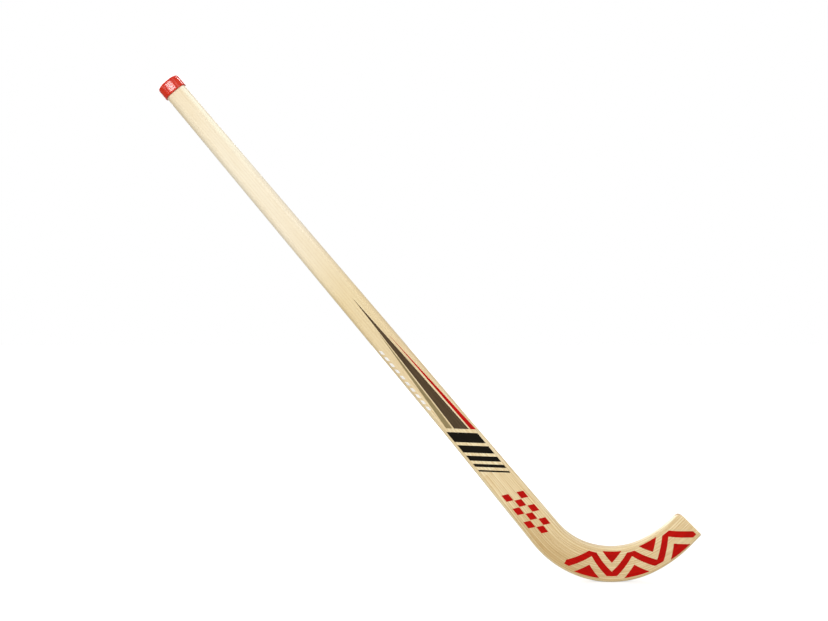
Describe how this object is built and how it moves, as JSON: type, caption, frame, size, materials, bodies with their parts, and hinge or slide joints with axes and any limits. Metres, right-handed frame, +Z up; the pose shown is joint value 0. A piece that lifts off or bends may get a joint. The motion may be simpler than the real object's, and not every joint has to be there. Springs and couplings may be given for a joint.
{
  "type": "roller hockey stick",
  "caption": "Wooden rink hockey stick: a tapering handle with rounded edges, a laminated blade bent round to a short toe, and a moulded cap on the butt.",
  "frame": {"origin": "on the front flat of the handle at the grip, on the middle of its width", "axes": "+X from the butt's side to the toe's side, +Z up as the stick is held for play with the belly of the blade lowest, +Y from the front face to the back face"},
  "size_m": [0.7299, 0.026, 0.6825],
  "materials": {
    "ash": "pale ash under a clear satin lacquer",
    "strip_wood": "darker thin strips under the same lacquer",
    "cap_plastic": "glossy red moulding",
    "print_ink": "printed film under the lacquer, in red, brown, khaki and black"
  },
  "bodies": {
    "root": {"shaft": "ash", "strip_01": "strip_wood", "strip_02": "strip_wood", "strip_03": "strip_wood", "strip_04": "strip_wood", "strip_05": "strip_wood", "strip_06": "strip_wood", "strip_07": "strip_wood", "strip_08": "strip_wood", "strip_09": "strip_wood", "strip_10": "strip_wood", "strip_11": "strip_wood", "strip_12": "strip_wood", "strip_13": "strip_wood", "strip_14": "strip_wood", "end_cap": "cap_plastic"}
  },
  "joints": []
}
